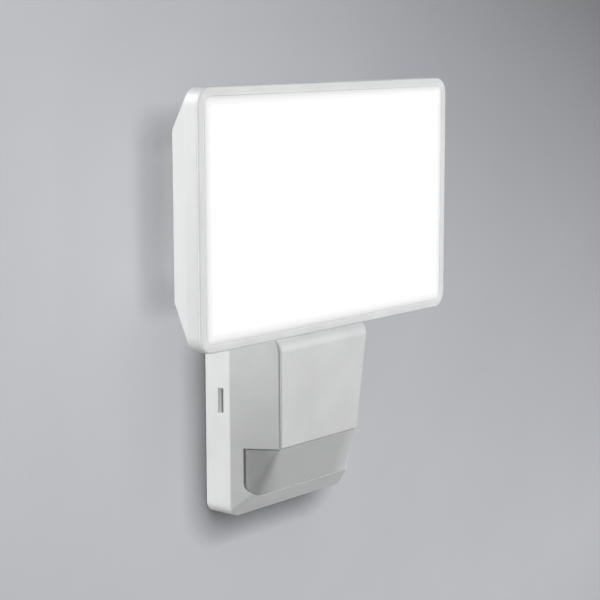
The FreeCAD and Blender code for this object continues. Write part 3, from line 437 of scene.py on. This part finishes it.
FINISHES = {
    "cover_plastic": print_ticks(moulded("cover_plastic_look", WHITE)),
    # the column panel: the same white plastic, painted a little darker as shade
    "panel_plastic": moulded("panel_plastic_shaded_look", scaled(WHITE, 0.935), gloss=0.36),
    "bezel_plastic": painted_lip_glow(moulded("bezel_plastic_look", WHITE, gloss=0.36)),
    "inner_plastic": moulded("inner_plastic_look", (0.10, 0.10, 0.105)),
    "bracket_plastic": moulded("bracket_plastic_look", (0.62, 0.63, 0.64), gloss=0.5),
    "terminal_plastic": moulded("terminal_plastic_look", (0.70, 0.69, 0.64)),
    "dial_plastic": moulded("dial_plastic_look", (0.42, 0.43, 0.45)),
    # black catch, made darker still as painted shade in its slot
    "latch_plastic": moulded("latch_plastic_look", (0.012, 0.012, 0.013), gloss=0.6),
    "relay_case": moulded("relay_case_look", (0.05, 0.08, 0.16), gloss=0.3),
    "capacitor_sleeve": moulded("capacitor_sleeve_look", (0.03, 0.035, 0.05), gloss=0.28),
    "ferrite": moulded("ferrite_look", (0.05, 0.048, 0.045), gloss=0.6),
    "housing_paint": powder_coat("housing_paint_look", WHITE),
    "arm_paint": powder_coat("arm_paint_look", scaled(WHITE, 0.97)),
    "rubber_black": rubber("rubber_black_look", (0.03, 0.03, 0.032)),
    "silicone_white": rubber("silicone_white_look", (0.82, 0.82, 0.81)),
    "steel": steel("steel_look"),
    "detector_can": steel("detector_can_look", (0.70, 0.66, 0.55), 0.24),
    "circuit_board": board("circuit_board_look", (0.02, 0.10, 0.045), (0.05, 0.17, 0.08)),
    "board_white": board("board_white_look", (0.80, 0.80, 0.79), (0.74, 0.74, 0.72)),
    "led_yellow": moulded("led_yellow_look", (0.85, 0.62, 0.12)),
    "diffuser_opal": lit_panel("diffuser_opal_look"),
    "lens_plastic": milky("lens_plastic_look", (0.68, 0.685, 0.69)),
}

for node in nodes.values():
    slot = node.material_slots[0].material.name
    node.material_slots[0].material = FINISHES[slot]


# ---- pieces made as meshes ----
def spot(x, depth, height):
    return Vector((x, -depth, height - SCREW_HEIGHT)) * MM


def piece(name, points, faces, body, finish, replaced):
    """Mesh piece in the row frame that rides a body and stands for a CAD node."""
    mesh = bpy.data.meshes.new(name)
    mesh.from_pydata(points, [], faces)
    mesh.validate()
    mesh.shade_smooth()
    mesh.set_sharp_from_angle(angle=math.radians(35.0))
    mesh.materials.append(FINISHES[finish])
    made = bpy.data.objects.new(name, mesh)
    bpy.context.scene.collection.objects.link(made)
    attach(made, body)
    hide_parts(replaced)
    return made


def window_reach(height):
    """Half width of the window at a height: its lower corners are round."""
    low = WINDOW_LEVELS[0]
    up = height - low
    if up >= WINDOW_CORNER:
        return WINDOW_HALF_WIDTH
    return WINDOW_HALF_WIDTH - WINDOW_CORNER + math.sqrt(WINDOW_CORNER ** 2 - (WINDOW_CORNER - up) ** 2)


def rim_distance(x, height):
    """Distance to the window's rim, shortened at its sides, where the rounding is wider."""
    low, high = WINDOW_LEVELS
    straight = WINDOW_HALF_WIDTH - WINDOW_CORNER
    beyond = abs(x) - straight
    below = low + WINDOW_CORNER - height
    if beyond > 0.0 and below > 0.0:
        side = WINDOW_SIDE_SHARE * (WINDOW_CORNER - math.hypot(beyond, below)) / FLANK_NORMAL[1]
    else:
        side = min(WINDOW_SIDE_SHARE * (WINDOW_HALF_WIDTH - abs(x)) / FLANK_NORMAL[1], height - low)
    return max(min(side, high - height), 0.0)


def window_depth(x, height):
    """Outer face of the window: a front slope and two flanks that melt together towards the bottom."""
    low, high = WINDOW_LEVELS
    front = SLOPE_FOOT + (height - CHIN[1]) * SLOPE_RUN
    flank = (FLANK_OFFSET - FLANK_NORMAL[0] * abs(x)) / FLANK_NORMAL[1]
    down = (high - height) / (high - low)
    blend = RIDGE_BLEND[0] + (RIDGE_BLEND[1] - RIDGE_BLEND[0]) * down ** 0.7
    overlap = max(blend - abs(front - flank), 0.0)
    drop = WINDOW_EDGE - min(rim_distance(x, height), WINDOW_EDGE)
    rounding = WINDOW_EDGE - math.sqrt(WINDOW_EDGE ** 2 - drop ** 2)
    return min(front, flank) - overlap ** 2 / (4.0 * blend) - rounding


def graded(low, high, count, edge):
    """Positions from low to high, closer together near both ends."""
    close = [edge * share for share in (0.0, 0.04, 0.16, 0.36, 0.64, 1.0)]
    inner = [low + edge + (high - low - 2 * edge) * i / count for i in range(1, count)]
    return [low + step for step in close] + inner + [high - step for step in reversed(close)]


def sensor_window():
    levels = graded(*WINDOW_LEVELS, 44, WINDOW_EDGE)
    side_edge = WINDOW_EDGE * FLANK_NORMAL[1] / WINDOW_SIDE_SHARE
    shares = graded(-1.0, 1.0, 120, side_edge / WINDOW_HALF_WIDTH)
    points = []
    for height in levels:
        reach = window_reach(height)
        points += [spot(share * reach, window_depth(share * reach, height), height) for share in shares]
    wide = len(shares)
    faces = []
    for row in range(len(levels) - 1):
        for column in range(wide - 1):
            corner = row * wide + column
            faces.append((corner, corner + 1, corner + wide + 1, corner + wide))
    made = piece("sensor_window", points, faces, "base", "lens_plastic", "sensor_lens")
    skin = made.modifiers.new("thickness", "SOLIDIFY")
    skin.thickness = WINDOW_THICK * MM
    skin.offset = -1.0
    skin.use_even_offset = True


def chamfer_place(x, along, out):
    """Point on the head's lower rear chamfer: across, up along it from its crease, and out from it."""
    depth = CREASE[0] + along * CHAMFER_UP[0] + out * CHAMFER_OUT[0]
    height = CREASE[1] + along * CHAMFER_UP[1] + out * CHAMFER_OUT[1]
    return spot(x, depth, height)


def turned(x, along, rings, segments):
    """Rings round an axis square to the chamfer; each is (radius at an angle, distance out)."""
    points = []
    for radius_at, out in rings:
        for step in range(segments):
            angle = 2 * math.pi * step / segments
            across, up = radius_at(angle) * math.cos(angle), radius_at(angle) * math.sin(angle)
            points.append(chamfer_place(x + across, along + up, out))
    faces = [tuple(range(segments))]
    for ring in range(len(rings) - 1):
        for step in range(segments):
            following = (step + 1) % segments
            near, far = ring * segments, (ring + 1) * segments
            faces.append((near + step, far + step, far + following, near + following))
    last = (len(rings) - 1) * segments
    faces.append(tuple(last + step for step in reversed(range(segments))))
    return points, faces


def circle(radius):
    return lambda angle: radius


def hexagon(half_width):
    return lambda angle: half_width / math.cos((angle % math.radians(60.0)) - math.radians(30.0))


def knurled(radius, depth, teeth):
    return lambda angle: radius - depth * (0.5 + 0.5 * math.cos(teeth * angle)) ** 2


def screw_rings():
    """Threaded shank, flange, domed head and hexagon socket, from the tip out."""
    rings = [(circle(1.2), -4.5)]
    for turn in range(11):
        start = -4.3 + 0.7 * turn
        rings += [(circle(1.72), start), (circle(1.98), start + 0.3), (circle(1.98), start + 0.4)]
    rings += [(circle(1.98), 4.0), (circle(3.45), 4.0), (circle(3.6), 4.15), (circle(3.6), 4.45)]
    for rise in (15.0, 30.0, 45.0, 60.0, 75.0):
        turn = math.radians(rise)
        rings.append((circle(1.95 + 1.55 * math.cos(turn)), 4.5 + 2.1 * math.sin(turn)))
    rings += [(circle(1.85), 6.58), (hexagon(1.45), 6.45), (hexagon(1.38), 6.3), (hexagon(1.38), 5.1)]
    return rings + [(circle(0.5), 4.85)]


def breather_rings():
    """Plug stem, knurled cap and the thin dished membrane in its middle, from the inside out."""
    grip = (5.98, 0.45, 24)
    rings = [(circle(3.4), -4.5), (circle(3.9), -4.0), (circle(3.95), 0.0), (circle(5.6), 0.0)]
    rings += [(knurled(*grip), 0.35), (knurled(*grip), 1.9), (circle(5.3), 2.3), (circle(5.0), 2.38)]
    rings += [(circle(3.5), 2.38), (circle(3.25), 2.25), (circle(3.2), 1.65)]
    return rings + [(circle(2.4), 1.72), (circle(1.5), 1.86), (circle(0.6), 1.94)]


def small_pieces():
    points, faces = [], []
    for x, along in ARM_SCREWS:
        more, sides = turned(x, along, screw_rings(), 48)
        faces += [tuple(index + len(points) for index in side) for side in sides]
        points += more
    piece("arm_screw_set", points, faces, "head", "steel", "arm_screws")
    piece("breather_cap", *turned(*BREATHER, breather_rings(), 144), "head", "rubber_black", "vent_plug")


sensor_window()
small_pieces()


# ---- stage ----
def painted_soft_shade(tree, reach, depth, lean):
    """Painted soft shade close to other things, seen more from the side it leans to."""
    shade = add(tree, "ShaderNodeAmbientOcclusion", samples=16)
    shade.inputs["Distance"].default_value = reach
    leaning = add(tree, "ShaderNodeVectorMath", operation="ADD")
    tree.links.new(add(tree, "ShaderNodeNewGeometry").outputs["Normal"], leaning.inputs[0])
    leaning.inputs[1].default_value = lean
    direction = add(tree, "ShaderNodeVectorMath", operation="NORMALIZE")
    tree.links.new(leaning.outputs[0], direction.inputs[0])
    tree.links.new(direction.outputs[0], shade.inputs["Normal"])
    return math_node(tree, "POWER", shade.outputs["AO"], depth)


def wall_painted_light(tree, place):
    """Painted light over the wall, darker towards the upper right, and painted soft shade close to the
    object.
    """
    parts = add(tree, "ShaderNodeSeparateXYZ")
    tree.links.new(place, parts.inputs[0])
    x, z = parts.outputs["X"], parts.outputs["Z"]
    pairs = (x, z, (x, z), (x, x), (z, z))
    total = WALL_PAINTED_LIGHT[0]
    for share, term in zip(WALL_PAINTED_LIGHT[1:], pairs):
        value = math_node(tree, "MULTIPLY", *term) if isinstance(term, tuple) else term
        total = math_node(tree, "ADD", math_node(tree, "MULTIPLY", value, share), total)
    total = remap(tree, total, *WALL_PAINTED_LIGHT_LIMITS, *WALL_PAINTED_LIGHT_LIMITS)
    for reach, depth, lean in WALL_PAINTED_SHADES:
        total = math_node(tree, "MULTIPLY", total, painted_soft_shade(tree, reach, depth, lean))
    return total


def one_sided(name, colour, variation, painted_light_of=None):
    """Wall or floor paint that is open when seen from behind."""
    material, tree, shader = material_tree(name)
    place = add(tree, "ShaderNodeTexCoord").outputs["Object"]
    trowel = noise(tree, place, 9.0, 5.0, 0.55)
    grain = noise(tree, place, 260.0, 3.0)
    paint = mix_colour(tree, share_of(tree, trowel, 0.3, 0.7), scaled(colour, 1 - variation), colour)
    # painted light and shade over the wall's paint
    if painted_light_of is not None:
        toned = add(tree, "ShaderNodeVectorMath", operation="SCALE")
        tree.links.new(paint, toned.inputs[0])
        tree.links.new(painted_light_of(tree, place), toned.inputs["Scale"])
        paint = toned.outputs[0]
    tree.links.new(paint, shader.inputs["Base Color"])
    shader.inputs["Roughness"].default_value = 0.85
    shader.inputs["Specular IOR Level"].default_value = 0.2
    bumps(tree, shader, [(trowel, 2e-3, 0.25), (grain, 3e-4, 0.25)])
    clear = add(tree, "ShaderNodeBsdfTransparent")
    choice = add(tree, "ShaderNodeMixShader")
    tree.links.new(add(tree, "ShaderNodeNewGeometry").outputs["Backfacing"], choice.inputs[0])
    tree.links.new(shader.outputs[0], choice.inputs[1])
    tree.links.new(clear.outputs[0], choice.inputs[2])
    tree.links.new(choice.outputs[0], tree.nodes["Material Output"].inputs["Surface"])
    return material


def sheet_object(name, corners, material):
    mesh = bpy.data.meshes.new(name)
    mesh.from_pydata(corners, [], [tuple(range(len(corners)))])
    mesh.materials.append(material)
    made = bpy.data.objects.new(name, mesh)
    bpy.context.scene.collection.objects.link(made)
    made.visible_shadow = False
    made.visible_diffuse = False
    made.visible_glossy = False
    return made


def build_stage():
    wide, low = ROOM_REACH, FLOOR_HEIGHT
    wall = [(x, WALL_PLANE, z) for x, z in ((-wide, low), (wide, low), (wide, wide), (-wide, wide))]
    floor = [(x, y, low) for x, y in ((-wide, -wide), (wide, -wide), (wide, wide), (-wide, wide))]
    wall_look = one_sided("wall_look", WALL_COLOUR, 0.03, wall_painted_light)
    wall_object = sheet_object("studio_wall", wall, wall_look)
    return wall_object, sheet_object("studio_floor", floor, one_sided("floor_look", FLOOR_COLOUR, 0.02))


# name, azimuth and elevation in degrees (0 is in front, positive to the left), watts, what it lights;
# where it says no shadow, only the stage blocks it
LIGHTS = (
    ("right_low", -60, 0, 4.4, "object"),
    ("right_high", -50, 35, 8.3, "object"),
    ("front_right", -30, 0, 19.9, "object"),
    ("front", 0, 0, 2.5, "object"),
    ("rear_left", 140, 10, 15.0, "object"),
    ("rear_left_high", 140, 35, 32.0, "object"),
    ("left_low", 90, -20, 9.4, "object"),
    ("bezel_left", 78, 25, 16.0, "bezel"),
    ("shoulder_top", -10, 78, 18.0, "base shell, no shadow"),
    ("wall_top", 0, 60, 2.0, "stage"),
    ("wall_fill_top", 0, 60, 26.0, "stage, no shadow"),
    ("wall_fill_left", 60, 30, 29.0, "stage, no shadow"),
)
LIGHT_DISTANCE = 2.2
LIGHT_SIZE = 1.3
LIGHT_TARGET = Vector((0.0, -0.03, 0.05))


def lit_group(name, members, state):
    """Collection that says which objects a light reaches or passes over."""
    chosen = bpy.data.collections.new(name)
    for member in members:
        chosen.objects.link(member)
    for member in chosen.collection_objects:
        member.light_linking.link_state = state
    return chosen


def build_lights(stage):
    groups = {
        "object": lit_group("all_but_stage", stage, "EXCLUDE"),
        "stage": lit_group("stage_only", stage, "INCLUDE"),
        "bezel": lit_group("bezel_only", [nodes["head_bezel"]], "INCLUDE"),
        "base shell": lit_group("base_shell_only", [nodes["base_cover"], nodes["column_panel"]], "INCLUDE"),
    }
    for name, azimuth, elevation, watts, lights in LIGHTS:
        turn = math.radians(azimuth)
        rise = math.radians(elevation)
        level = math.cos(rise)
        towards = Vector((-math.sin(turn) * level, -math.cos(turn) * level, math.sin(rise)))
        data = bpy.data.lights.new(name, "AREA")
        data.shape = "DISK"
        data.size = LIGHT_SIZE
        data.energy = watts
        light = bpy.data.objects.new(name, data)
        light.location = LIGHT_TARGET + towards * LIGHT_DISTANCE
        light.rotation_euler = (-towards).to_track_quat("-Z", "Y").to_euler()
        light.light_linking.receiver_collection = groups[lights.split(",")[0]]
        if lights.endswith("no shadow"):
            light.light_linking.blocker_collection = groups["stage"]
        bpy.context.scene.collection.objects.link(light)
    world = bpy.data.worlds.new("studio_world")
    world.use_nodes = True
    sky = world.node_tree.nodes["Background"]
    sky.inputs["Color"].default_value = (*SKY_COLOUR, 1.0)
    sky.inputs["Strength"].default_value = SKY_STRENGTH
    bpy.context.scene.world = world


def build_camera():
    data = bpy.data.cameras.new("camera")
    data.lens = CAMERA_LENS
    data.sensor_width = CAMERA_SENSOR
    data.clip_end = 20.0
    camera = bpy.data.objects.new("camera", data)
    look = CAMERA_LOOK.normalized()
    right = look.cross(CAMERA_UP).normalized()
    turn = Matrix((right, right.cross(look), -look)).transposed().to_4x4()
    camera.matrix_world = Matrix.Translation(CAMERA_PLACE) @ turn
    bpy.context.scene.collection.objects.link(camera)
    bpy.context.scene.camera = camera


build_lights(build_stage())
build_camera()
bpy.context.scene.view_settings.view_transform = "Standard"
